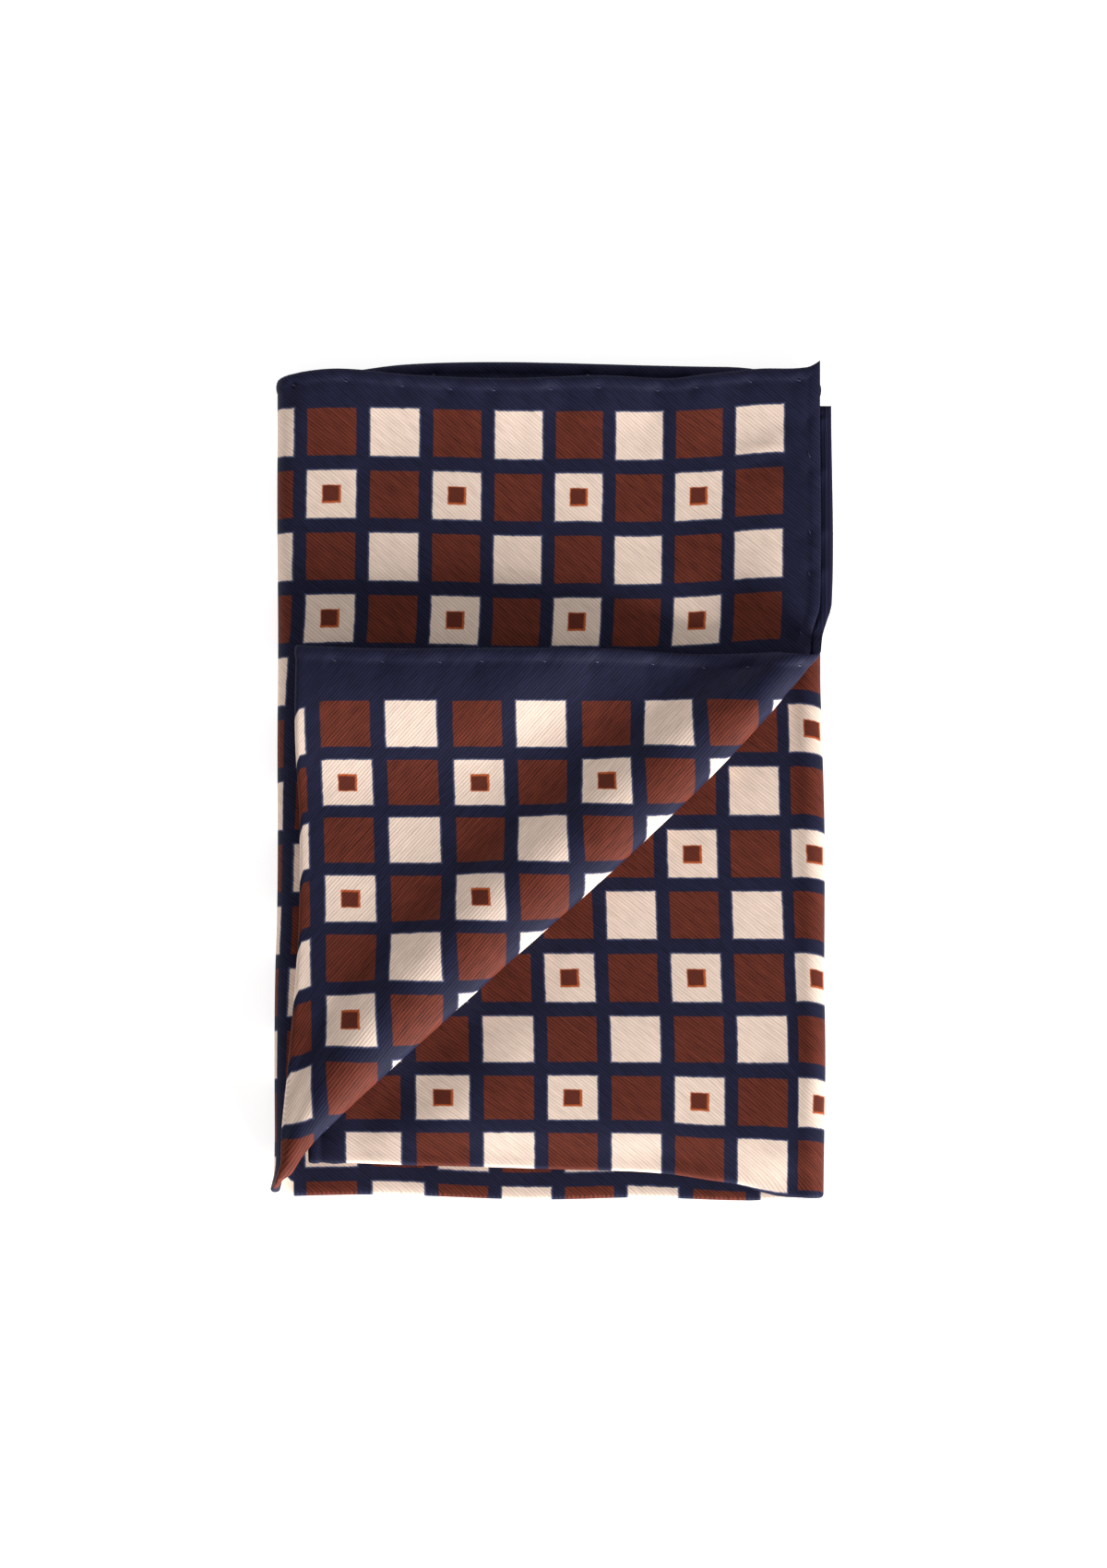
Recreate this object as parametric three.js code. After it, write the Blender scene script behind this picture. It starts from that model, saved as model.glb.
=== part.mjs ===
// Silk pocket square, folded, lying flat with its folded edge towards -Y. Millimetres, +Z up.
// The square is doubled along a line near its middle, folded in three like a letter, and one
// corner of the top third is turned back over a soft diagonal roll.

import * as THREE from 'three';

// The cloth
const SIDE = 330;            // from hem to hem
const PLY = 1.0;             // thickness of one ply
const SLIT = 0.4;            // gap between the two plies of the doubled cloth
const REST = 0.5;            // gap between one doubled leaf and the next
const ROUND = 0.3;           // how far the edge of a hem bulges past its faces
const LEAF = 2 * PLY + SLIT;
const STEP = LEAF + REST;

// Places of the folds across the stack, seen from above
const HEM_X = 56.15;         // mean line of the right-hand hems of the top third
const LEFT_X = -52.1;        // where the left fold starts to turn
const RIGHT_X = 52.1;        // where the right fold starts to turn
const FOLD_Y = -84.5;        // the line along which the cloth is doubled
const MIDDLE = { x: -0.013, y: -0.312 }; // middle of the outline, moved to the origin

// Each fold turns its leaf over on a tight arc as far as bend, goes on round on a wider arc, and
// eases down again to the leaf that it rests on. It is lower than it is wide by squash.
const LEFT_FOLD = { turn: STEP, bend: Math.PI, round: 10, ease: 10, rise: 2 * STEP, squash: 1 };
const RIGHT_FOLD = { turn: 2.3, bend: Math.PI, round: 2.3, ease: 10, rise: STEP, squash: 0.8 };
const ROLL = { turn: 2.2, bend: 2.53, ease: 14, rise: STEP, squash: 0.85 };

// The diagonal roll, from its pointed end at the left (along < 0) to the hem at the right. start
// is the distance of its first line from the hem corner of the top third, measured along both
// edges together, round is its wider radius, and drawn is how far the flap is drawn back past it.
const DIAGONAL = [
  { along: -80, start: 118.2, round: 5, drawn: 6.0 },
  { along: -70, start: 119.8, round: 8, drawn: 7.1 },
  { along: -60, start: 119.1, round: 11, drawn: 7.7 },
  { along: -50, start: 118.6, round: 14, drawn: 8.5 },
  { along: -36, start: 117.9, round: 16, drawn: 8.4 },
  { along: -22, start: 116.9, round: 16, drawn: 6.8 },
  { along: -12, start: 116.1, round: 16, drawn: 4.8 },
  { along: 0, start: 115.1, round: 16, drawn: 3.5 },
  { along: 14, start: 113.9, round: 15, drawn: 2.2 },
  { along: 30, start: 113.1, round: 14, drawn: 0.2 },
  { along: 48, start: 113.6, round: 12, drawn: 1.0 },
  { along: 60, start: 114.7, round: 10, drawn: 3.2 },
  { along: 80, start: 117.5, round: 6, drawn: 2.4 },
];

// Along the cloth from the hem of the top third: how far the doubling line lies above FOLD_Y,
// and the length of the longer and the shorter ply above it
const DOUBLING = [
  { along: 0, lift: 0, long: 171.6, short: 161.6 },
  { along: 4, lift: 0, long: 169.4, short: 161.6 },
  { along: 14, lift: 0, long: 169.1, short: 161.8 },
  { along: 25, lift: 0, long: 168.0, short: 162.0 },
  { along: 32, lift: 0, long: 167.2, short: 162.0 },
  { along: 46, lift: 0, long: 167.8, short: 162.2 },
  { along: 66, lift: 0, long: 167.2, short: 162.2 },
  { along: 84, lift: 0, long: 167.9, short: 162.4 },
  { along: 99, lift: -0.2, long: 169.4, short: 162.2 },
  { along: 108, lift: -0.6, long: 168.9, short: 162.0 },
  { along: 116, lift: -0.6, long: 166.6, short: 161.6 },
  { along: 136, lift: -0.3, long: 166.0, short: 161.6 },
  { along: 162, lift: -1.4, long: 166.6, short: 161.6 },
  { along: 186, lift: -0.9, long: 166.6, short: 161.6 },
  { along: 210, lift: -1.6, long: 167.0, short: 161.6 },
  { along: 222, lift: -1.0, long: 167.0, short: 161.0 },
  { along: 234, lift: -0.5, long: 168.6, short: 161.0 },
  { along: 238, lift: 0.4, long: 168.8, short: 161.0 },
  { along: 243, lift: 2.2, long: 167.6, short: 161.0 },
  { along: 248, lift: 3.0, long: 166.9, short: 161.0 },
  { along: 258, lift: 4.3, long: 165.8, short: 161.0 },
  { along: 285, lift: 5.3, long: 165.5, short: 161.0 },
  { along: 300, lift: 5.8, long: 165.0, short: 161.0 },
  { along: 312, lift: 6.1, long: 164.2, short: 160.4 },
  { along: 320, lift: 6.3, long: 162.9, short: 159.6 },
  { along: 330, lift: 6.5, long: 160.8, short: 158.6 },
];

// How far the side hem of the top third's plies stands out past HEM_IN, up from the doubling line
const HEM_STEP = [
  { up: 0, long: 6.6, short: 6.6 },
  { up: 12, long: 4.4, short: 6.2 },
  { up: 36, long: 1.4, short: 5.6 },
  { up: 74, long: 0, short: 5.0 },
  { up: 98, long: 0, short: 3.0 },
  { up: 110, long: -1.2, short: 0.2 },
  { up: 114, long: -1.8, short: 0.2 },
  { up: 121, long: 0, short: 2.5 },
  { up: 162, long: 0, short: 2.4 },
];
const HEM_STEP_REACH = 16;
const HEM_IN = 1.25;         // the upper ply's hem lies this far inside HEM_X

// The sides of the whole stack sway a little, from its lowest edge up
const SWAY = [
  { y: -90, left: -0.9, right: 1.0 },
  { y: -75, left: -1.3, right: 1.1 },
  { y: -58, left: -1.4, right: 1.3 },
  { y: -40, left: -1.2, right: 1.2 },
  { y: -28, left: -0.9, right: 1.2 },
  { y: -8, left: -0.7, right: 1.1 },
  { y: 10, left: -0.7, right: 0.7 },
  { y: 22, left: -0.7, right: 0.3 },
  { y: 90, left: -0.8, right: 0.2 },
];
const SWAY_REACH = 35;       // how far in from each side the sway fades out

// The top third rides over the right fold, and the flap's hem stands off it
const OVER_RIGHT = { height: 1.2, from: 34, to: 50 };
const FLAP_HEM = { height: 3.2, reach: 28, clear: 22 };

// The leaf that the right fold turns over stands up near its lower edge, except under the roll
const PUFF = { height: 1.2, edge: 9, fade: 45, clear: 84, reach: 20 };

const DRAWN_REACH = 12;      // the flap is drawn back over at least this length of cloth

// Mesh lines: columns across the leaves, and rows up from the doubling line
const TOP_COLUMN = 12;
const LEAF_COLUMNS = 8;
const FOLD_COLUMNS = 9;
const FINE_ROW = 2.4;
const FINE_ROWS = 5;
const ROW = 12.5;
const EASE_LINES = [9, 19];
const TOP_ROW = 162;         // the row that follows the shorter ply's hem
const TOP_BLEND = 30;        // height over which the rows bend to meet that hem
const ARC_STEPS = 4;
const LONG = -Math.PI / 2;   // the longer ply looks down before the folds, the shorter one up
const SHORT = Math.PI / 2;

const SILK = new THREE.MeshStandardMaterial({ color: 0x24263a, roughness: 0.5, metalness: 0 });

// A smooth step from 0 to 1
function smooth(t) {
  const s = Math.min(Math.max(t, 0), 1);
  return s * s * (3 - 2 * s);
}

// Grows from 0 at 0 to 1 at 1, softly at first and then evenly
function growth(t) {
  const s = Math.min(Math.max(t, 0), 1);
  return s < 0.2 ? s * s / 0.36 : (s - 0.1) / 0.9;
}

// A column of a table between its rows, on a smooth curve through them
function read(table, key, column, at) {
  const last = table.length - 1;
  const place = Math.min(Math.max(at, table[0][key]), table[last][key]);
  let i = 0;
  while (i < last - 1 && place > table[i + 1][key]) i += 1;
  const slope = (j) => {
    const from = table[Math.max(j - 1, 0)];
    const to = table[Math.min(j + 1, last)];
    return (to[column] - from[column]) / (to[key] - from[key]);
  };
  const width = table[i + 1][key] - table[i][key];
  const t = (place - table[i][key]) / width;
  const rise = table[i + 1][column] - table[i][column];
  const bend = (1 - t) * (slope(i) * width - rise) - t * (slope(i + 1) * width - rise);
  return table[i][column] + t * rise + t * (1 - t) * bend;
}

// The arcs of a fold, each with its radius and its angle. It turns past half a turn and back
// again, just as far as its rise needs.
function foldArcs({ turn, bend, round, ease, rise, squash }) {
  const climb = rise / squash - turn * (1 - Math.cos(bend)) - round * Math.cos(bend);
  const over = Math.acos(Math.min((climb + ease) / (round + ease), 1));
  return [[turn, bend], [round, Math.PI + over - bend], [-ease, -over]];
}

// Length of cloth in a fold
function foldLength(fold) {
  return foldArcs(fold).reduce((sum, [radius, angle]) => sum + radius * angle, 0);
}

// The curve of a fold at a length along it: out from its start, up, and the direction of the
// side that faced up before the fold
function foldAt(fold, length) {
  let angle = 0;
  let out = Math.min(length, 0);
  let up = 0;
  let rest = Math.max(length, 0);
  for (const [radius, sweep] of foldArcs(fold)) {
    const next = angle + Math.min(rest, radius * sweep) / radius;
    out += radius * (Math.sin(next) - Math.sin(angle));
    up += radius * (Math.cos(angle) - Math.cos(next));
    rest = Math.max(rest - radius * sweep, 0);
    angle = next;
  }
  const size = Math.hypot(fold.squash * Math.sin(angle), Math.cos(angle));
  return {
    out: out - rest,
    up: fold.squash * up,
    sideOut: -fold.squash * Math.sin(angle) / size,
    sideUp: Math.cos(angle) / size,
  };
}

// Lines across the cloth where each leaf and fold ends, from the hem of the top third
const LEFT_START = HEM_X - LEFT_X;
const LEFT_END = LEFT_START + foldLength(LEFT_FOLD);
const RIGHT_START = LEFT_END + RIGHT_X - LEFT_X;
const RIGHT_END = RIGHT_START + foldLength(RIGHT_FOLD);

// A point of the top third, with its corner turned back. across is measured from the hem, up
// from the doubling line, and off from the middle of the doubled cloth.
function topLeaf(across, up, off) {
  const along = (up - across) / Math.SQRT2;
  const start = read(DIAGONAL, 'along', 'start', along);
  const fold = { ...ROLL, round: read(DIAGONAL, 'along', 'round', along) };
  const length = (start - across - up) / Math.SQRT2;
  const curve = foldAt(fold, length);
  const edge = Math.max((start - Math.SQRT2 * Math.abs(along)) / Math.SQRT2, DRAWN_REACH);
  const drawn = read(DIAGONAL, 'along', 'drawn', along) * growth(length / edge);
  const out = curve.out + drawn - curve.sideOut * off;
  const shift = (out - length) / Math.SQRT2;
  const x = HEM_X - across + shift;
  const y = FOLD_Y + up - shift;
  const level = LEAF / 2 + 2 * STEP;
  const past = smooth((length - foldLength(fold)) / FLAP_HEM.clear);
  const stand = FLAP_HEM.height * past * (1 - smooth(across / FLAP_HEM.reach));
  const ride = OVER_RIGHT.height * smooth((x - OVER_RIGHT.from) / (OVER_RIGHT.to - OVER_RIGHT.from));
  return new THREE.Vector3(x, y, level + curve.up - curve.sideUp * off + stand + ride);
}

// The same point before its corner is turned back
function flatTop(across, up, off) {
  return new THREE.Vector3(HEM_X - across, FOLD_Y + up, LEAF / 2 + 2 * STEP - off);
}

// The left fold, drawn along with the top third where the diagonal roll runs out into it
function leftFold(across, up, off) {
  const curve = foldAt(LEFT_FOLD, LEFT_END - across);
  const x = LEFT_X - curve.out - curve.sideOut * off;
  const z = LEAF / 2 + curve.up + curve.sideUp * off;
  const share = Math.max(LEFT_END - across, 0) / (LEFT_END - LEFT_START);
  const moved = topLeaf(LEFT_START, up, off).sub(flatTop(LEFT_START, up, off));
  return new THREE.Vector3(x, FOLD_Y + up, z).addScaledVector(moved, share ** 2);
}

// How far the leaf that the right fold turns over stands up near its lower edge
function turnedPuff(across, up, x) {
  const share = smooth((across - RIGHT_START) / (RIGHT_END - RIGHT_START));
  const edge = smooth(up / PUFF.edge) * (1 - smooth((up - PUFF.edge) / PUFF.fade));
  const under = smooth((HEM_X - x + up - PUFF.clear) / PUFF.reach);
  return PUFF.height * share * edge * (1 - under);
}

// The bottom leaf, the right fold and the leaf that it turns over
function lowerLeaves(across, up, off) {
  const curve = foldAt(RIGHT_FOLD, across - RIGHT_START);
  const x = RIGHT_X + curve.out + curve.sideOut * off;
  const z = LEAF / 2 + curve.up + curve.sideUp * off + turnedPuff(across, up, x);
  return new THREE.Vector3(x, FOLD_Y + up, z);
}

// Any point of the cloth, in the stack
function place(across, up, off) {
  const lift = read(DOUBLING, 'along', 'lift', across);
  let point = lowerLeaves(across, up, off);
  if (across < LEFT_END) point = leftFold(across, up, off);
  if (across < LEFT_START) point = topLeaf(across, up, off);
  point.y += lift;
  const left = 1 - smooth((point.x - LEFT_X) / SWAY_REACH);
  const right = 1 - smooth((RIGHT_X - point.x) / SWAY_REACH);
  const y = point.y;
  point.x += left * read(SWAY, 'y', 'left', y) + right * read(SWAY, 'y', 'right', y);
  point.x -= MIDDLE.x;
  point.y -= MIDDLE.y;
  return point;
}

// Evenly spaced values from one to another, with both ends
function spread(from, to, steps) {
  return Array.from({ length: steps + 1 }, (_, i) => from + (to - from) * i / steps);
}

// Rows up from the doubling line, fine near it
const UP_ROWS = [
  ...spread(0, FINE_ROW * FINE_ROWS, FINE_ROWS),
  ...spread(FINE_ROW * FINE_ROWS, TOP_ROW, Math.round((TOP_ROW - FINE_ROW * FINE_ROWS) / ROW)).slice(1),
];

// The diagonal lines of the top third are parallel to its roll: each is named by the distance
// at which it meets the doubling line, or would beyond the left fold
function diagonalLines() {
  const fine = spread(-FINE_ROW * FINE_ROWS, 0, FINE_ROWS).map((d) => LEFT_START + d);
  const first = fine[0] - EASE_LINES[1];
  const flap = spread(0, first, Math.round(first / TOP_COLUMN)).slice(1);
  const ease = fine[0] - EASE_LINES[0];
  return [...flap, ease, ...fine, ...UP_ROWS.slice(1).map((up) => LEFT_START + up)];
}

// The points of one diagonal line, from the hem or the top row to the doubling line or the left
// fold
function diagonalPoints(line, columns) {
  const from = Math.max(HEM_IN, line - TOP_ROW);
  const to = Math.min(LEFT_START, line);
  const near = TOP_COLUMN / 4;
  const inside = columns.filter((a) => a > from + near && a < to - near);
  return [from, ...inside, to].map((a) => [a, line - a]);
}

// The sheet: points, each with its place on the cloth and the angle at which it looks away from
// the slit (-90 degrees on the longer ply, 90 on the shorter one and between them round the
// doubling line), and triangles that face away from the slit
class Sheet {
  constructor() {
    this.points = [];
    this.faces = [];
    this.known = new Map();
  }

  point(across, up, angle) {
    const name = [across.toFixed(4), up.toFixed(4), angle.toFixed(3)].join();
    if (!this.known.has(name)) {
      this.known.set(name, this.points.length);
      this.points.push({ across, up, angle });
    }
    return this.known.get(name);
  }

  face(a, b, c) {
    if (a !== b && b !== c && c !== a) this.faces.push([a, b, c]);
  }

  // Triangles between two rows of points that run the same way, the first below the second
  join(lower, upper, angle) {
    const at = ([across, up]) => this.point(across, up, angle);
    const turned = angle < 0;
    const add = (a, b, c) => (turned ? this.face(a, c, b) : this.face(a, b, c));
    let i = 0;
    let j = 0;
    while (i < lower.length - 1 || j < upper.length - 1) {
      const nextLower = i < lower.length - 1 ? lower[i + 1][0] : Infinity;
      const nextUpper = j < upper.length - 1 ? upper[j + 1][0] : Infinity;
      if (nextLower <= nextUpper) {
        add(at(lower[i]), at(lower[i + 1]), at(upper[j]));
        i += 1;
      } else {
        add(at(lower[i]), at(upper[j + 1]), at(upper[j]));
        j += 1;
      }
    }
  }

  // Triangles between two rows with the same number of points
  strip(lower, upper, lowerAngle, upperAngle, turned) {
    for (let i = 0; i < lower.length - 1; i += 1) {
      const a = this.point(...lower[i], lowerAngle);
      const b = this.point(...lower[i + 1], lowerAngle);
      const c = this.point(...upper[i + 1], upperAngle);
      const d = this.point(...upper[i], upperAngle);
      const quad = turned ? [a, d, c, b] : [a, b, c, d];
      this.face(quad[0], quad[1], quad[2]);
      this.face(quad[0], quad[2], quad[3]);
    }
  }

  // Edges that only one triangle has, in that triangle's direction
  rim() {
    const edges = this.faces.flatMap(([a, b, c]) => [[a, b], [b, c], [c, a]]);
    const known = new Set(edges.map((edge) => edge.join()));
    return edges.filter(([a, b]) => !known.has([b, a].join()));
  }
}

// Columns across the top third, and across the folds and the leaves below it
const TOP_COLUMNS = spread(HEM_IN, LEFT_START, Math.round(LEFT_START / TOP_COLUMN));
const LOW_COLUMNS = [
  ...spread(LEFT_START, LEFT_END, FOLD_COLUMNS),
  ...spread(LEFT_END, RIGHT_START, LEAF_COLUMNS).slice(1),
  ...spread(RIGHT_START, RIGHT_END, FOLD_COLUMNS).slice(1),
  ...spread(RIGHT_END, SIDE, LEAF_COLUMNS).slice(1),
];

// Rows near the top bend to follow the shorter ply's hem
function bentRow(across, up) {
  const short = read(DOUBLING, 'along', 'short', across);
  return up + (short - TOP_ROW) * smooth((up - TOP_ROW + TOP_BLEND) / TOP_BLEND);
}

// Both plies, the doubling line between them, and what the longer ply has past the other
function makeSheet() {
  const made = new Sheet();
  const lines = [[[HEM_IN, 0]], ...diagonalLines().map((line) => diagonalPoints(line, TOP_COLUMNS))];
  const rows = UP_ROWS.map((up) => LOW_COLUMNS.map((across) => [across, up]));
  const bend = (row) => row.map(([across, up]) => [across, bentRow(across, up)]);
  for (const angle of [LONG, SHORT]) {
    for (const grid of [lines.map(bend), rows.map(bend)]) {
      grid.slice(1).forEach((row, i) => made.join(grid[i], row, angle));
    }
  }
  const onDoubling = lines.map((line) => line.at(-1)).filter(([, up]) => up === 0);
  const doubling = [...onDoubling, ...rows[0].slice(1)];
  for (let i = 0; i < ARC_STEPS; i += 1) {
    const angles = [i, i + 1].map((k) => LONG + (SHORT - LONG) * k / ARC_STEPS);
    made.strip(doubling, doubling, ...angles, false);
  }
  const onTop = lines.map((line) => line[0]).filter(([, up]) => up > TOP_ROW - 1e-6);
  const top = bend([...onTop, ...rows.at(-1).slice(1)]);
  const longTop = top.map(([across]) => [across, read(DOUBLING, 'along', 'long', across)]);
  made.strip(top, longTop, LONG, LONG, true);
  return made;
}

// How far a ply's side hem moves a point near it
function hemStep({ across, up, angle }) {
  const long = read(HEM_STEP, 'up', 'long', up);
  const short = read(HEM_STEP, 'up', 'short', up);
  const share = (angle - LONG) / (SHORT - LONG);
  return (long + (short - long) * share) * (1 - smooth((across - HEM_IN) / HEM_STEP_REACH));
}

// Which way the edge of the cloth bulges at a point of the rim
function outward({ across }) {
  if (across <= HEM_IN) return { across: -1, up: 0 };
  if (across === SIDE) return { across: 1, up: 0 };
  return { across: 0, up: 1 };
}

// The sheet's two faces, and a rounded edge between them along the hems
function clothGeometry(sheet) {
  const positions = [];
  const layer = (depth, bulge) => sheet.points.map((point) => {
    const out = outward(point);
    const across = point.across - hemStep(point) + bulge * out.across;
    const up = point.up - depth * Math.cos(point.angle) + bulge * out.up;
    const spot = place(across, up, depth * Math.sin(point.angle));
    return positions.push(spot.x, spot.y, spot.z) / 3 - 1;
  });
  const outer = layer(LEAF / 2, 0);
  const inner = layer(SLIT / 2, 0);
  const edge = layer((SLIT + PLY) / 2, ROUND);
  const index = sheet.faces.flatMap(([a, b, c]) => [
    outer[a], outer[b], outer[c], inner[a], inner[c], inner[b],
  ]);
  for (const [a, b] of sheet.rim()) {
    for (const [one, other] of [[outer, edge], [edge, inner]]) {
      index.push(one[b], one[a], other[a], one[b], other[a], other[b]);
    }
  }
  const geometry = new THREE.BufferGeometry();
  geometry.setAttribute('position', new THREE.Float32BufferAttribute(positions, 3));
  geometry.setIndex(index);
  return geometry;
}

const cloth = new THREE.Mesh(clothGeometry(makeSheet()), SILK);
cloth.name = 'silk_square';

const pocketSquare = new THREE.Group();
pocketSquare.add(cloth);

export default pocketSquare;
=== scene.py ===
import math

import bpy
import numpy as np
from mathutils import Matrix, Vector


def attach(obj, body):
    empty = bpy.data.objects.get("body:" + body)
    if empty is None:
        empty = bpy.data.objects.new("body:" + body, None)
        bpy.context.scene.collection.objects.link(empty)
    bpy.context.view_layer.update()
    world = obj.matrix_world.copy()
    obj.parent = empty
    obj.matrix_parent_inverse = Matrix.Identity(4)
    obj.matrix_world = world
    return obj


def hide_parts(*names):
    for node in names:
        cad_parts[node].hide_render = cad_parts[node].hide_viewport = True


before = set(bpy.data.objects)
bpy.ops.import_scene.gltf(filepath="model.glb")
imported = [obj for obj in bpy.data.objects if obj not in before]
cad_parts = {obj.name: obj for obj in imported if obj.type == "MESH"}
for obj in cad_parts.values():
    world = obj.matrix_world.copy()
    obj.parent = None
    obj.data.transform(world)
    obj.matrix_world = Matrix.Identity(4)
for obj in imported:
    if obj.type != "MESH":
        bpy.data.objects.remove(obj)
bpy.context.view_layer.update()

# Sizes of the cloth and its folds, in millimetres, as in the part's source
MM = 0.001
SIDE = 330.0
PLY = 1.0
SLIT = 0.4
REST = 0.5
LEAF = 2 * PLY + SLIT
STEP = LEAF + REST
PLY_MIDDLE = (SLIT + PLY) / 2
TOP_LEVEL = LEAF / 2 + 2 * STEP
HEM_X = 56.15
LEFT_X = -52.1
RIGHT_X = 52.1
FOLD_Y = -84.5
MIDDLE = (-0.013, -0.312)
HEM_IN = 1.25
ROOT2 = math.sqrt(2)

# Folds: a tight arc as far as bend, a wider arc after it, and an ease down to the leaf below
LEFT_FOLD = {"turn": STEP, "bend": math.pi, "round": 10, "ease": 10, "rise": 2 * STEP, "squash": 1}
RIGHT_FOLD = {"turn": 2.3, "bend": math.pi, "round": 2.3, "ease": 10, "rise": STEP, "squash": 0.8}
ROLL = {"turn": 2.2, "bend": 2.53, "ease": 14, "rise": STEP, "squash": 0.85}

# The diagonal roll, from its pointed end to the hem: start, wider radius, and how far the flap is
# drawn out past it. The drawing grows towards the flap's edge, softly over its first share.
DIAGONAL = {
    "along": [-80, -70, -60, -50, -36, -22, -12, 0, 14, 30, 48, 60, 80],
    "start": [118.2, 119.8, 119.1, 118.6, 117.9, 116.9, 116.1, 115.1, 113.9, 113.1, 113.6,
              114.7, 117.5],
    "round": [5, 8, 11, 14, 16, 16, 16, 16, 15, 14, 12, 10, 6],
    "drawn": [6.0, 7.1, 7.7, 8.5, 8.4, 6.8, 4.8, 3.5, 2.2, 0.2, 1.0, 3.2, 2.4],
}
DRAWN_REACH = 12
SOFT_START = 0.2

# Along the cloth: lift of the doubling line, and length of the longer and the shorter ply
DOUBLING = {
    "along": [0, 4, 14, 25, 32, 46, 66, 84, 99, 108, 116, 136, 162, 186, 210, 222, 234, 238,
              243, 248, 258, 285, 300, 312, 320, 330],
    "lift": [0, 0, 0, 0, 0, 0, 0, 0, -0.2, -0.6, -0.6, -0.3, -1.4, -0.9, -1.6, -1.0, -0.5, 0.4,
             2.2, 3.0, 4.3, 5.3, 5.8, 6.1, 6.3, 6.5],
    "long": [171.6, 169.4, 169.1, 168.0, 167.2, 167.8, 167.2, 167.9, 169.4, 168.9, 166.6, 166.0,
             166.6, 166.6, 167.0, 167.0, 168.6, 168.8, 167.6, 166.9, 165.8, 165.5, 165.0,
             164.2, 162.9, 160.8],
    "short": [161.6, 161.6, 161.8, 162.0, 162.0, 162.2, 162.2, 162.4, 162.2, 162.0, 161.6,
              161.6, 161.6, 161.6, 161.6, 161.0, 161.0, 161.0, 161.0, 161.0, 161.0, 161.0,
              161.0, 160.4, 159.6, 158.6],
}

# How far the top third's side hem steps out on each ply, by the distance up from the doubling
# line, and how far in that reaches
HEM_STEP = {
    "up": [0, 12, 36, 74, 98, 110, 114, 121, 162],
    "long": [6.6, 4.4, 1.4, 0, 0, -1.2, -1.8, 0, 0],
    "short": [6.6, 6.2, 5.6, 5.0, 3.0, 0.2, 0.2, 2.5, 2.4],
}
HEM_STEP_REACH = 16

# How far the stack's left and right sides are moved along x, by their place in y, and how far in
# that reaches
SWAY = {
    "y": [-90, -75, -58, -40, -28, -8, 10, 22, 90],
    "left": [-0.9, -1.3, -1.4, -1.2, -0.9, -0.7, -0.7, -0.7, -0.8],
    "right": [1.0, 1.1, 1.3, 1.2, 1.2, 1.1, 0.7, 0.3, 0.2],
}
SWAY_REACH = 35

# Where a leaf stands up: the top third over the right fold, the flap's hem, and the lower edge of
# the leaf that the right fold turns over
OVER_RIGHT = {"height": 1.2, "from": 34, "to": 50}
FLAP_HEM = {"height": 3.2, "reach": 28, "clear": 22}
PUFF = {"height": 1.2, "edge": 9, "fade": 45, "clear": 84, "reach": 20}

# The silk: half its thickness, the hem's width and half its height, and the least height of a point
HALF_SILK = 0.13
HEM_WIDTH = 2.4
HEM_HALF = 0.4
CLEAR_OF_FLOOR = 0.01

# Cells of the cloth's mesh: their width on each leaf and at the folds, their length near the
# doubling line and beyond it, the lines near a hem, and the rows round the doubling
TOP_CELL = 1.5
BASE_CELL = 4.0
TURNED_CELL = 2.2
FOLD_CELL = 0.9
NEAR_DOUBLING = 6
NEAR_CELL = 1.0
ROW_CELL = 1.6
HEM_LINES = [0, 0.12, 0.4, 0.85, 1.3, 1.75, 2.15, 2.45, 3.0]
ARC_ROWS = 6

# The even sheet's top row, and the reach below it in which rows are moved to the uneven hem
TOP_ROW = 162.0
TOP_BLEND = 30.0

# The print: the pitch of its squares, and which column or row lies where, in millimetres. A lean,
# sag, tilt or droop shifts a line of squares, so that it bends. The flap has its own places,
# because its cloth is drawn out along the diagonal.
PITCH = 12.75
ROW_PITCH = 12.8
COLUMNS = {
    "across": [-20, 0.9, 13.6, 38.1, 62.9, 88.1, 100.6, 108.25, 117.36, 138.2, 164.3, 190.3,
               221.56, 228.5, 231.4, 233.5, 238.7, 251.0, 263.7, 276.8, 289.9, 303.4, 317.2,
               330.9],
    "column": [-1.65, 0, 1, 3, 5, 7, 8, 8.6, 9.42, 11, 13, 15, 17.38, 18.15, 18.4, 18.6, 19, 20,
               21, 22, 23, 24, 25, 26],
}
TOP_LEAN = {
    "y": [-90, -70, -57, -31, -6, 20, 33, 45, 71, 90],
    "lean": [4.2, 4.0, 3.6, 2.9, 2.5, 1.5, 0.5, 0.3, 0, 0],
}
TOP_SAG = {
    "across": [0, 13, 25, 38, 50, 63, 76, 89, 108],
    "sag": [-1.2, -0.9, 0, 0.5, 0.3, 0.4, 0, -0.3, -0.9],
    "reach": 20,
}
TURNED_LEAN = {
    "y": [-85, -53, -41, -28, -15, -2, 30],
    "lean": [-0.2, 0, 0.5, 0.85, 1.3, 1.4, 1.4],
}
TURNED_ROWS = {
    "y": [-85.5, -79.3, -65.3, -53.3, -40.7, -27.6, -15.2, -2, 88],
    "row": [13.48, 13.17, 12, 11, 10, 9, 8, 7, -0.05],
}
TURNED_TILT = {
    "across": [234, 238, 250, 262, 330],
    "tilt": [1.7, 1.4, 1.1, 0.2, 0],
    "y": -55,
    "reach": 15,
}
FLAP_ROWS = {
    "x": [-57, -41.7, -28.7, -15.1, -2.3, 11.4, 24.1, 60],
    "row": [12.84, 14, 15, 16, 17, 18, 19, 21.75],
}
FLAP_COLUMNS = {
    "y": [-90, -63.3, -49.3, -36.3, -24.2, -12.1, -0.4, 11.7, 36],
    "column": [9, 7, 6, 5, 4, 3, 2, 1, -1.02],
}
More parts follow.
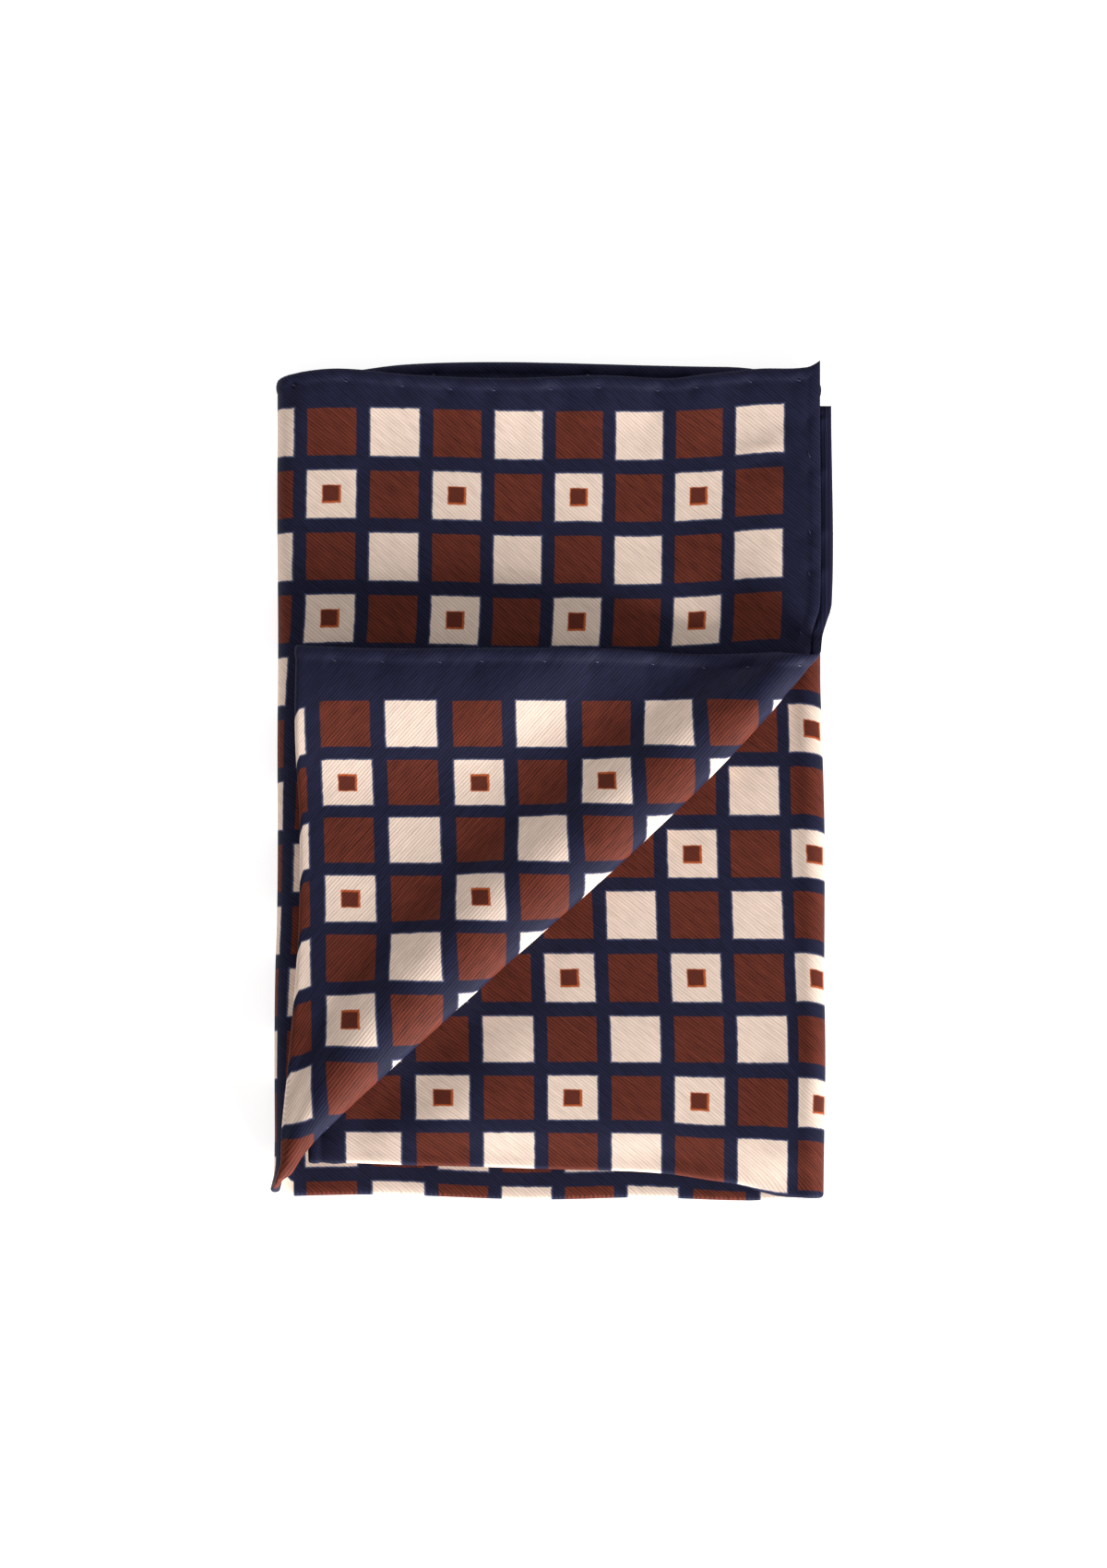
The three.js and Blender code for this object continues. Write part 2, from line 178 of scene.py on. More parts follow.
FLAP_LEAN = {
    "y": [-90, -49, -36, -24, -12, 0, 12, 40],
    "lean": [3.0, 1.9, 1.4, 1.15, 0.75, 0.4, 0, -0.4],
}
FLAP_DROOP = {"drop": 1.9, "x": -45, "reach": 7}
TOP_FOLD_ROW = 13.18
BASE_FOLD_ROWS = {"across": [117, 222, 236, 330], "row": [13.21, 13.34, 13.66, 13.17]}

# The photograph's frame in pixels, the real size of a pixel in millimetres, and the pixel at which
# x and y are 0 before MIDDLE is taken off
PHOTO_WIDTH = 1200
PHOTO_HEIGHT = 1700
MM_PER_PIXEL = 0.19
OBJECT_PIXEL = (598.0, 846.5)

# The camera's height, and the height in the stack at which a pixel has that size, in metres
CAMERA_HEIGHT = 1.0
MIDDLE_HEIGHT = 0.006


def smooth(t):
    """A smooth step from 0 to 1."""
    s = np.clip(t, 0, 1)
    return s * s * (3 - 2 * s)


def growth(t):
    """From 0 at 0 to 1 at 1, softly at first and then evenly."""
    s = np.clip(t, 0, 1)
    soft = s * s / (SOFT_START * (2 - SOFT_START))
    even = (s - SOFT_START / 2) / (1 - SOFT_START / 2)
    return np.where(s < SOFT_START, soft, even)


def read(table, key, column, at):
    """A column of a table between its rows, on a smooth curve through them."""
    keys = np.asarray(table[key], float)
    values = np.asarray(table[column], float)
    last = len(keys) - 1
    place = np.clip(at, keys[0], keys[-1])
    i = np.clip(np.searchsorted(keys, place, side="left") - 1, 0, last - 1)
    before = np.maximum(np.arange(last + 1) - 1, 0)
    after = np.minimum(np.arange(last + 1) + 1, last)
    slope = (values[after] - values[before]) / (keys[after] - keys[before])
    width = keys[i + 1] - keys[i]
    t = (place - keys[i]) / width
    rise = values[i + 1] - values[i]
    bend = (1 - t) * (slope[i] * width - rise) - t * (slope[i + 1] * width - rise)
    return values[i] + t * rise + t * (1 - t) * bend


def fold_arcs(fold):
    """The arcs of a fold, each with its radius and its angle."""
    bend, wide, ease = fold["bend"], fold["round"], fold["ease"]
    climb = fold["rise"] / fold["squash"] - fold["turn"] * (1 - np.cos(bend)) - wide * np.cos(bend)
    over = np.arccos(np.minimum((climb + ease) / (wide + ease), 1))
    return [(fold["turn"], bend), (wide, math.pi + over - bend), (-ease, -over)]


def fold_length(fold):
    """Length of the cloth round a fold, until it is level again."""
    return sum(radius * angle for radius, angle in fold_arcs(fold))


def fold_at(fold, length):
    """A fold's curve: out, up, and the direction of the side that faced up before it."""
    angle = 0.0
    up = 0.0
    out = np.minimum(length, 0)
    rest = np.maximum(length, 0)
    for radius, sweep in fold_arcs(fold):
        following = angle + np.minimum(rest, radius * sweep) / radius
        out = out + radius * (np.sin(following) - np.sin(angle))
        up = up + radius * (np.cos(angle) - np.cos(following))
        rest = np.maximum(rest - radius * sweep, 0)
        angle = following
    side_out = -fold["squash"] * np.sin(angle)
    side_up = np.cos(angle)
    size = np.hypot(side_out, side_up)
    return out - rest, fold["squash"] * up, side_out / size, side_up / size


LEFT_START = HEM_X - LEFT_X
LEFT_END = float(LEFT_START + fold_length(LEFT_FOLD))
RIGHT_START = LEFT_END + RIGHT_X - LEFT_X
RIGHT_END = float(RIGHT_START + fold_length(RIGHT_FOLD))


def diagonal_fold(across, up):
    """The roll at a point of the top third: its fold, its start, the length past it, the drawing."""
    along = (up - across) / ROOT2
    start = read(DIAGONAL, "along", "start", along)
    fold = dict(ROLL, round=read(DIAGONAL, "along", "round", along))
    length = (start - across - up) / ROOT2
    edge = np.maximum((start - ROOT2 * np.abs(along)) / ROOT2, DRAWN_REACH)
    drawn = read(DIAGONAL, "along", "drawn", along) * growth(length / edge)
    return fold, start, length, drawn


def top_leaf(across, up, off):
    """Points of the top third, with its corner turned back."""
    fold, start, length, drawn = diagonal_fold(across, up)
    out, rise, side_out, side_up = fold_at(fold, length)
    shift = (out + drawn - side_out * off - length) / ROOT2
    x = HEM_X - across + shift
    y = FOLD_Y + up - shift
    past = smooth((length - fold_length(fold)) / FLAP_HEM["clear"])
    stand = FLAP_HEM["height"] * past * (1 - smooth(across / FLAP_HEM["reach"]))
    ride = (x - OVER_RIGHT["from"]) / (OVER_RIGHT["to"] - OVER_RIGHT["from"])
    z = TOP_LEVEL + rise - side_up * off + stand + OVER_RIGHT["height"] * smooth(ride)
    return np.stack([x, y, z], -1)


def left_fold(across, up, off):
    """The left fold, drawn along with the top third where the diagonal roll runs out into it."""
    out, rise, side_out, side_up = fold_at(LEFT_FOLD, LEFT_END - across)
    flat = np.stack([LEFT_X - out - side_out * off, FOLD_Y + up, LEAF / 2 + rise + side_up * off], -1)
    share = np.clip((LEFT_END - across) / (LEFT_END - LEFT_START), 0, 1) ** 2
    line = np.full_like(across, LEFT_START)
    unturned = np.stack([HEM_X - line, FOLD_Y + up, TOP_LEVEL - off], -1)
    return flat + share[..., None] * (top_leaf(line, up, off) - unturned)


def turned_puff(across, up, x):
    """Height by which the leaf that the right fold turns over stands up near its lower edge."""
    share = smooth((across - RIGHT_START) / (RIGHT_END - RIGHT_START))
    edge = smooth(up / PUFF["edge"]) * (1 - smooth((up - PUFF["edge"]) / PUFF["fade"]))
    under = smooth((HEM_X - x + up - PUFF["clear"]) / PUFF["reach"])
    return PUFF["height"] * share * edge * (1 - under)


def lower_leaves(across, up, off):
    """The bottom leaf, the right fold and the leaf that it turns over."""
    out, rise, side_out, side_up = fold_at(RIGHT_FOLD, across - RIGHT_START)
    x = RIGHT_X + out + side_out * off
    z = LEAF / 2 + rise + side_up * off + turned_puff(across, up, x)
    return np.stack([x, FOLD_Y + up, z], -1)


def place(across, up, off):
    """Any points of the cloth, in the stack, in millimetres."""
    point = lower_leaves(across, up, off)
    point = np.where((across < LEFT_END)[..., None], left_fold(across, up, off), point)
    point = np.where((across < LEFT_START)[..., None], top_leaf(across, up, off), point)
    point[..., 1] += read(DOUBLING, "along", "lift", across)
    left = 1 - smooth((point[..., 0] - LEFT_X) / SWAY_REACH)
    right = 1 - smooth((RIGHT_X - point[..., 0]) / SWAY_REACH)
    y = point[..., 1]
    point[..., 0] += left * read(SWAY, "y", "left", y) + right * read(SWAY, "y", "right", y)
    return point - np.array([MIDDLE[0], MIDDLE[1], 0])


def spread(start, end, cell):
    """Evenly spaced values from start to end, about a cell apart, without the end."""
    count = max(int(round((end - start) / cell)), 1)
    return list(np.linspace(start, end, count + 1)[:-1])


def cloth_lines():
    """Columns across the cloth and rows from the longer ply's hem to the shorter one's."""
    hem = HEM_LINES[-1]
    columns = [HEM_IN + d for d in HEM_LINES[:-1]]
    columns += spread(HEM_IN + hem, LEFT_START, TOP_CELL)
    columns += spread(LEFT_START, LEFT_END, FOLD_CELL)
    columns += spread(LEFT_END, RIGHT_START, BASE_CELL)
    columns += spread(RIGHT_START, RIGHT_END, FOLD_CELL)
    columns += spread(RIGHT_END, SIDE - hem, TURNED_CELL)
    columns += [SIDE - d for d in reversed(HEM_LINES)]
    ups = spread(0, NEAR_DOUBLING, NEAR_CELL)
    ups += spread(NEAR_DOUBLING, TOP_ROW - hem, ROW_CELL)
    ups += [TOP_ROW - d for d in reversed(HEM_LINES)]
    arc = [math.pi * (k / ARC_ROWS - 0.5) for k in range(1, ARC_ROWS)]
    up = np.array(ups[::-1] + [0.0] * len(arc) + ups)
    angle = np.array([-math.pi / 2] * len(ups) + arc + [math.pi / 2] * len(ups))
    return np.array(columns), up, angle


def moved_to_hems(across, up, angle):
    """Even places on the sheet, moved to where its uneven hems lie."""
    share = angle / math.pi + 0.5
    long = read(DOUBLING, "along", "long", across)
    short = read(DOUBLING, "along", "short", across)
    length = np.where(angle < 0, long, short)
    up = up + (length - TOP_ROW) * smooth((up - TOP_ROW + TOP_BLEND) / TOP_BLEND)
    long = read(HEM_STEP, "up", "long", up)
    short = read(HEM_STEP, "up", "short", up)
    step = (long + (short - long) * share) * (1 - smooth((across - HEM_IN) / HEM_STEP_REACH))
    return across - step, up


def half_thickness(edge):
    """Half the cloth's thickness at a distance from its hem: a plump roll, then the plain silk."""
    t = np.clip(edge / HEM_WIDTH, 0, 1)
    roll = HEM_HALF * np.sqrt(np.maximum(1 - (2 * t - 1) ** 2, 0))
    return np.maximum(np.where(edge > 0, roll, 0), np.where(edge > HEM_WIDTH / 2, HALF_SILK, 0))


def cloth_layer(across, up, angle, depth):
    """One face of the cloth, at a depth from the middle of the doubled cloth, above the floor."""
    point = place(across, up - depth * np.cos(angle), depth * np.sin(angle))
    point[..., 2] = np.maximum(point[..., 2], CLEAR_OF_FLOOR)
    return point


# Creases, as their two ends in the stack seen from above, width and height: ridges and troughs
TOP_CREASES = [
    ((-64, 84), (66, 84), 9.0, 1.4),
    ((-11.4, 86), (-11.2, 65), 1.2, 0.22),
    ((-6.3, 86), (-6.1, 66), 1.2, -0.22),
    ((1.6, 84), (2.6, 72), 2.0, -0.70),
    ((8.5, 82), (10.5, 66), 3.6, 0.5),
    ((38, 66.6), (48.5, 69.2), 1.6, 0.55),
    ((37, 63.6), (46, 65.4), 1.6, -0.50),
    ((46, 63), (50, 57), 1.6, 0.35),
    ((-44, 84), (-40, 60), 4.0, 0.4),
    ((-24, 83), (-22, 70), 3.0, -0.4),
    ((24, 84), (20, 72), 3.0, -0.45),
    ((31, 84), (33, 74), 2.6, 0.45),
    ((51, 84), (53, 42), 2.0, 0.45),
    ((-20, 50), (-8, 44), 3.5, 0.25),
    ((-46, 44), (-30, 38), 4.5, 0.3),
    ((14, 40), (34, 45), 4.5, 0.3),
]
FLAP_CREASES = [
    ((-46, 27), (-44, 12), 3.0, 0.2),
    ((-30, 26), (-28, 15), 4.0, 0.3),
    ((-18, 27), (-17, 18), 3.0, -0.25),
    ((-5, 27), (-6, 15), 4.0, 0.25),
    ((9, 27), (8, 17), 3.5, -0.25),
    ((20, 27), (17, 14), 4.0, 0.3),
    ((35, 26), (43, 17), 2.4, -0.4),
    ((47, 25), (39, 12), 2.4, 0.35),
    ((-44, -50), (-34, -60), 3.0, 0.12),
    ((-12, -18), (-2, -26), 3.0, 0.10),
]
TURNED_CREASES = [
    ((-44.5, -71), (-44.8, -80), 2.2, 0.5),
    ((-39, -71), (-38, -80), 2.2, -0.35),
    ((20, -80), (44, -82), 3.0, 0.3),
    ((46, -60), (50, -84), 2.5, 0.25),
    ((10, -55), (30, -48), 8.0, 0.2),
]

# A crease's height along it is half a wave of a sine, less this share of it at both ends
CREASE_END = 0.15


def crease_height(creases, x, y):
    """Height of the creases at places seen from above."""
    height = np.zeros_like(x)
    for (x0, y0), (x1, y1), width, rise in creases:
        dx, dy = x1 - x0, y1 - y0
        t = np.clip(((x - x0) * dx + (y - y0) * dy) / (dx * dx + dy * dy), 0, 1)
        distance = np.hypot(x - x0 - t * dx, y - y0 - t * dy)
        along = np.sin(math.pi * (CREASE_END + (1 - 2 * CREASE_END) * t))
        height += rise * np.exp(-((distance / width) ** 2)) * along
    return height


# Stitches along the hems: mean distance apart, how uneven, the two waves of that unevenness,
# distance in from the hem, the length that a side hem's stitches fill, and the angle at which the
# first wave starts on the longer ply's, the shorter ply's and the side hems
STITCH_STEP = 10.3
STITCH_UNEVEN = 1.6
STITCH_WAVES = (2.4, 1.1)
STITCH_IN = 2.35
SIDE_HEM = 164
LONG_TURN = 0.4
SHORT_TURN = 1.9
SIDE_TURN = 0.9

# The dimple at a stitch, and the wider hollow round it that puckers the hem: their sizes, and how
# much the hollows differ in depth
DIMPLE = {"depth": 0.45, "reach": 1.1}
PUCKER = {"depth": 0.22, "width": 2.6, "reach": 6.0, "mean": 0.6, "vary": 0.4, "wave": 5.1}

# Soft waves all over the cloth: their height, lengths over a radian, starts, and the share of
# those that run slantwise
WAVE_HEIGHT = 0.09
CROSSED_WAVES = {"across": 9.1, "up": 12.3, "start_across": 0.4, "start_up": 1.0}
SLANT_WAVES = {"share": 0.6, "across": 5.3, "up": 7.7}


def stitch_places(length, turn):
    """Places of the stitches along one hem, unevenly spaced as by hand."""
    count = int(length / STITCH_STEP)
    step = length / count
    first, second = STITCH_WAVES
    return [
        (k + 0.5) * step + STITCH_UNEVEN * math.sin(first * k + turn) * math.cos(second * k)
        for k in range(count)
    ]


def hem_height(place_along, distance, length, turn):
    """Dimples at the stitches and soft hollows round them, near one hem."""
    height = np.zeros_like(distance)
    for at in stitch_places(length, turn):
        from_stitch = np.hypot(place_along - at, distance - STITCH_IN)
        height -= DIMPLE["depth"] * np.exp(-((from_stitch / DIMPLE["reach"]) ** 2))
        away = ((place_along - at) / PUCKER["width"]) ** 2 + (distance / PUCKER["reach"]) ** 2
        depth = PUCKER["depth"] * (PUCKER["mean"] + PUCKER["vary"] * math.sin(PUCKER["wave"] * at))
        height -= depth * np.exp(-away)
    return height


def soft_waves(across, up):
    """Height of the soft waves all over the cloth."""
    crossed = np.sin(across / CROSSED_WAVES["across"] + CROSSED_WAVES["start_across"])
    crossed = crossed * np.sin(up / CROSSED_WAVES["up"] + CROSSED_WAVES["start_up"])
    slant = np.sin(across / SLANT_WAVES["across"] + up / SLANT_WAVES["up"])
    return WAVE_HEIGHT * (crossed + SLANT_WAVES["share"] * slant)


def flap_place(across, up):
    """Where a point of the flap lies, seen from above, as if the roll were flat."""
    fold, start, length, drawn = diagonal_fold(across, up)
    whole = fold_length(fold)
    back = (whole + fold_at(fold, whole)[0] + drawn) / ROOT2
    return HEM_X + up - start + back, FOLD_Y + start - across - back


def relief(across, up, angle, edge_side, edge_top):
    """Height of creases, puckers and soft waves on the cloth's outer side."""
    long_ply = angle < 0
    x = np.where(across < LEFT_END, HEM_X - across, place(across, up, np.zeros_like(up))[..., 0])
    y = FOLD_Y + up + read(DOUBLING, "along", "lift", across)
    top = crease_height(TOP_CREASES, x, y)
    turned = crease_height(TURNED_CREASES, x, y)
    flap_x, flap_y = flap_place(across, up)
    flap = crease_height(FLAP_CREASES, flap_x, flap_y)
    height = np.where(long_ply & (across < LEFT_START), top, 0)
    height += np.where(long_ply & (across > RIGHT_END), turned, 0)
    height += np.where(~long_ply & (across < LEFT_START), flap, 0)
    long_hem = hem_height(across, edge_top, SIDE, LONG_TURN)
    short_hem = hem_height(across, edge_top, SIDE, SHORT_TURN)
    height += np.where(long_ply, long_hem, short_hem)
    height += hem_height(up, edge_side, SIDE_HEM, SIDE_TURN)
    return height + soft_waves(across, up)


def print_place(across, up, angle):
    """Where each point lies on the print, in squares counted from two hems of the square."""
    share = np.clip(angle / math.pi + 0.5, 0, 1)
    y = FOLD_Y + up + read(DOUBLING, "along", "lift", across)
    top = 1 - smooth((across - LEFT_START) / (LEFT_END - LEFT_START))
    turned = smooth((across - RIGHT_START) / (RIGHT_END - RIGHT_START))
    lean = top * read(TOP_LEAN, "y", "lean", y) + turned * read(TURNED_LEAN, "y", "lean", y)
    column = read(COLUMNS, "across", "column", across - lean)
    fold_row = read(BASE_FOLD_ROWS, "across", "row", across)
    sag = read(TOP_SAG, "across", "sag", across) * smooth(up / TOP_SAG["reach"])
    top_row = TOP_FOLD_ROW - (up + sag) / ROW_PITCH
    tilt = read(TURNED_TILT, "across", "tilt", across)
    tilt = tilt * smooth((TURNED_TILT["y"] - y) / TURNED_TILT["reach"])
    turned_row = read(TURNED_ROWS, "y", "row", y + tilt)
    base_row = fold_row - up / ROW_PITCH
    long_row = base_row + top * (top_row - base_row) + turned * (turned_row - base_row)

    flap_x, flap_y = flap_place(across, up)
    flap_y = flap_y + FLAP_DROOP["drop"] * smooth((FLAP_DROOP["x"] - flap_x) / FLAP_DROOP["reach"])
    flap_row = read(FLAP_ROWS, "x", "row", flap_x - read(FLAP_LEAN, "y", "lean", flap_y))
    flap_column = read(FLAP_COLUMNS, "y", "column", flap_y)
    short_row = fold_row + up / ROW_PITCH
    short_row = short_row + top * (flap_row - short_row)
    short_column = column + top * (flap_column - column)
    return column + share * (short_column - column), long_row + share * (short_row - long_row)


def add_mesh(name, points, faces, rounded=True):
    """An object from points in metres, shaded smooth if it is rounded."""
    mesh = bpy.data.meshes.new(name)
    mesh.from_pydata(points, [], faces)
    mesh.polygons.foreach_set("use_smooth", np.full(len(mesh.polygons), rounded))
    mesh.update()
    thing = bpy.data.objects.new(name, mesh)
    bpy.context.collection.objects.link(thing)
    return thing


def add_print_map(mesh, places):
    """Gives each corner of the mesh the place on the print of its point."""
    layer = mesh.uv_layers.new(name="print")
    corners = np.empty(len(mesh.loops), np.int32)
    mesh.loops.foreach_get("vertex_index", corners)
    layer.data.foreach_set("uv", places[corners].ravel())


def cloth_faces(angle):
    """Triangles of the outer and the inner face, and the rim that joins them round the hems."""
    index = np.arange(angle.size).reshape(angle.shape)
    a, b = index[:-1, :-1].ravel(), index[:-1, 1:].ravel()
    c, d = index[1:, 1:].ravel(), index[1:, :-1].ravel()
    # Both triangles of a cell meet on the diagonal that runs along the roll
    long_ply = (angle[:-1, :-1].ravel() < 0)[:, None]
    first = np.where(long_ply, np.stack([a, b, c], -1), np.stack([a, b, d], -1))
    second = np.where(long_ply, np.stack([a, c, d], -1), np.stack([b, c, d], -1))
    outer = np.concatenate([first, second])
    inner = outer[:, ::-1] + angle.size
    ring = np.concatenate([index[0, :], index[1:, -1], index[-1, -2::-1], index[-2:0:-1, 0]])
    after = np.roll(ring, -1)
    rim = np.stack([after, ring, ring + angle.size, after + angle.size], -1)
    return outer.tolist() + inner.tolist() + rim.tolist()


def make_cloth():
    """The whole cloth: two faces as far apart as the silk is thick, closed round the hems."""
    columns, ups, angles = cloth_lines()
    even_across, even_up = np.meshgrid(columns, ups)
    angle = np.repeat(angles[:, None], len(columns), 1)
    across, up = moved_to_hems(even_across, even_up, angle)
    edge_side = np.minimum(even_across - HEM_IN, SIDE - even_across)
    edge_top = TOP_ROW - even_up
    half = half_thickness(np.minimum(edge_side, edge_top))
    middle = PLY_MIDDLE + relief(across, up, angle, edge_side, edge_top)
    outer = cloth_layer(across, up, angle, middle + half).reshape(-1, 3)
    inner = cloth_layer(across, up, angle, middle - half).reshape(-1, 3)
    points = (np.concatenate([outer, inner]) * MM).tolist()
    cloth = add_mesh("silk_cloth", points, cloth_faces(angle))
    places = np.stack(print_place(across, up, angle), -1).reshape(-1, 2)
    add_print_map(cloth.data, np.concatenate([places, places]))
    return cloth


def linear(red, green, blue):
    """A colour given in 0 to 255 screen values, as Blender's linear values."""
    values = [v / 255 for v in (red, green, blue)]
    return [v / 12.92 if v <= 0.04045 else ((v + 0.055) / 1.055) ** 2.4 for v in values] + [1]


class Graph:
    """Short ways to add nodes to a material and link them."""

    def __init__(self, name):
        self.material = bpy.data.materials.new(name)
        self.material.use_nodes = True
        self.tree = self.material.node_tree
        self.shader = self.tree.nodes["Principled BSDF"]

    def set_shader(self, values):
        """Sets constants on the shader's own sockets."""
        for name, value in values.items():
            self.shader.inputs[name].default_value = value

    def node(self, kind, **settings):
        node = self.tree.nodes.new(kind)
        for name, value in settings.items():
            setattr(node, name, value)
        return node

    def feed(self, socket, value):
        """Links another node's output to a socket, or sets the socket to a number or colour."""
        if isinstance(value, bpy.types.NodeSocket):
            self.tree.links.new(value, socket)
        else:
            socket.default_value = value

    def math(self, operation, *values):
        node = self.node("ShaderNodeMath", operation=operation)
        for socket, value in zip(node.inputs, values):
            self.feed(socket, value)
        return node.outputs[0]

    def edge(self, value, low, high):
        """1 below low, 0 above high, smooth between."""
        node = self.node("ShaderNodeMapRange", interpolation_type="SMOOTHSTEP")
        for name, number in (("From Min", low), ("From Max", high), ("To Min", 1), ("To Max", 0)):
            node.inputs[name].default_value = number
        self.feed(node.inputs["Value"], value)
        return node.outputs[0]

    def mix(self, factor, first, second):
        """The first colour where the factor is 0, the second where it is 1."""
        node = self.node("ShaderNodeMix", data_type="RGBA")
        self.feed(node.inputs[0], factor)
        self.feed(node.inputs[6], first)
        self.feed(node.inputs[7], second)
        return node.outputs[2]

    def noise(self, place, scale, detail):
        node = self.node("ShaderNodeTexNoise")
        self.feed(node.inputs["Vector"], place)
        node.inputs["Scale"].default_value = scale
        node.inputs["Detail"].default_value = detail
        return node.outputs[0]


# Colours of the print and of the sewing thread, as screen values
NAVY = (25, 26, 50)
BROWN = (93, 40, 28)
CREAM = (229, 205, 189)
RIM = (178, 84, 40)
HALO = (96, 104, 138)
THREAD = (48, 51, 82)

# The print's squares, in parts of a pitch: half of a square, of its dot and of the dot's rim, how
# much narrower a square is along a column, how far the dot lies off its rim's middle, and how soft
# edges and corners are
SQUARE_HALF = 0.387
DOT_HALF = 0.124
RIM_HALF = 0.151
ROW_NARROW = 1.02
DOT_SHIFT = 0.01
EDGE_SOFT = 0.012
CORNER_SOFT = 0.02

# How far printed edges waver, and how finely, by column and by row
WOBBLE = 0.012
COLUMN_WOBBLES = 7
ROW_WOBBLES = 9

# The paler navy round a cream square: its width, and its share of the halo's colour
HALO_WIDTH = 0.04
HALO_SHARE = 0.55

# The columns and rows between which squares are printed
FIRST_SQUARE = 0.5
LAST_SQUARE = 25.5

# The twill: distance between its ribs in millimetres, their slant, and how finely streaks and grain
# lie in a pitch. The ribs' lighter and darker lines are painted sheen and shade in the colour;
# streaks and grain are the yarn's own tone. Each has a strength, weaker on cream, where painted sheen
# shows less.
RIB = 0.58
RIB_SLANT = math.radians(40)
STREAKS_ACROSS = 24
STREAKS_ALONG = 3
GRAINS = 60
RIB_PAINTED_SHEEN = 0.36
STREAK_SHADE = 1.4
GRAIN_SHADE = 1.0
CREAM_WEAVE_AND_SHEEN = 0.36

# Broad patches of the silk that are a little lighter: how finely they lie, least shade and range
PATCHES = 1.3
PATCH_LEAST = 0.96
PATCH_RANGE = 0.12

# The silk's shine, and the twill's own relief: the ribs' share in it, strength, height in metres
SHINE = {
    "Roughness": 0.68,
    "Specular IOR Level": 0.13,
    "Sheen Weight": 0.02,
    "Sheen Roughness": 0.35,
    "Sheen Tint": (0.75, 0.8, 1.0, 1.0),
}
RIB_BUMP = 0.5
BUMP_STRENGTH = 0.5
BUMP_HEIGHT = 0.00004


def wobbled(g, uv, number, fineness):
    """A column or row number, wavering slightly as printed edges do."""
    wobble = g.math("MULTIPLY_ADD", g.noise(uv, fineness, 1), 2 * WOBBLE, -WOBBLE)
    return g.math("ADD", number, wobble)


def box_distance(g, first, second):
    """Distance from the middle of a square, level with its sides."""
    first = g.math("ABSOLUTE", first)
    second = g.math("ABSOLUTE", second)
    return g.math("SMOOTH_MAX", first, second, CORNER_SOFT)


def within(g, distance, half, printed):
    """1 within half a square's width of its middle, where it is printed, and 0 elsewhere."""
    return g.math("MULTIPLY", g.edge(distance, half - EDGE_SOFT, half + EDGE_SOFT), printed)


def print_colour(g, uv, across, up):
    """The print's colour, and 1 on its cream squares."""
    column = wobbled(g, uv, across, COLUMN_WOBBLES)
    row = wobbled(g, uv, up, ROW_WOBBLES)
    near_column = g.math("ROUND", column)
    near_row = g.math("ROUND", row)
    past_column = g.math("SUBTRACT", column, near_column)
    past_row = g.math("SUBTRACT", row, near_row)
    distance = box_distance(g, past_column, g.math("MULTIPLY", past_row, ROW_NARROW))
    from_dot_column = g.math("SUBTRACT", past_column, DOT_SHIFT)
    from_dot_row = g.math("ADD", past_row, DOT_SHIFT)
    dot_distance = box_distance(g, from_dot_column, from_dot_row)

    inside = 1.0
    for number in (column, row):
        inside = g.math("MULTIPLY", g.math("GREATER_THAN", number, FIRST_SQUARE), inside)
        inside = g.math("MULTIPLY", g.math("LESS_THAN", number, LAST_SQUARE), inside)
    odd_column = g.math("PINGPONG", near_column, 1)
    odd_row = g.math("PINGPONG", near_row, 1)
    even_column = g.math("SUBTRACT", 1, odd_column)
    even_row = g.math("SUBTRACT", 1, odd_row)
    differ = g.math("ABSOLUTE", g.math("SUBTRACT", odd_column, odd_row))
    cream = g.math("SUBTRACT", 1, differ)
    both_even = g.math("MULTIPLY", even_column, even_row)

    square = within(g, distance, SQUARE_HALF, inside)
    dot = within(g, dot_distance, DOT_HALF, both_even)
    rim = within(g, distance, RIM_HALF, both_even)
    halo = g.edge(distance, SQUARE_HALF, SQUARE_HALF + HALO_WIDTH)
    halo = g.math("MULTIPLY", g.math("MULTIPLY", halo, cream), inside)
    ground = g.mix(g.math("MULTIPLY", halo, HALO_SHARE), linear(*NAVY), linear(*HALO))
    cell = g.mix(cream, linear(*BROWN), linear(*CREAM))
    cell = g.mix(rim, cell, linear(*RIM))
    cell = g.mix(dot, cell, linear(*BROWN))
    return g.mix(square, ground, cell), g.math("MULTIPLY", cream, square)


def twill(g, uv, across, up):
    """The twill's ribs, from -1 to 1, and the streaks along them and the grain, from 0 to 1."""
    slant = math.sin(RIB_SLANT)
    level = math.cos(RIB_SLANT)
    across_ribs = g.math("MULTIPLY_ADD", across, slant, g.math("MULTIPLY", up, level))
    along_ribs = g.math("MULTIPLY_ADD", across, level, g.math("MULTIPLY", up, -slant))
    rib = g.math("SINE", g.math("MULTIPLY", across_ribs, 2 * math.pi * PITCH / RIB))
    streak_place = g.node("ShaderNodeCombineXYZ")
    g.feed(streak_place.inputs[0], g.math("MULTIPLY", across_ribs, STREAKS_ACROSS))
    g.feed(streak_place.inputs[1], g.math("MULTIPLY", along_ribs, STREAKS_ALONG))
    streak = g.noise(streak_place.outputs[0], 1, 2)
    return rib, streak, g.noise(uv, GRAINS, 3)


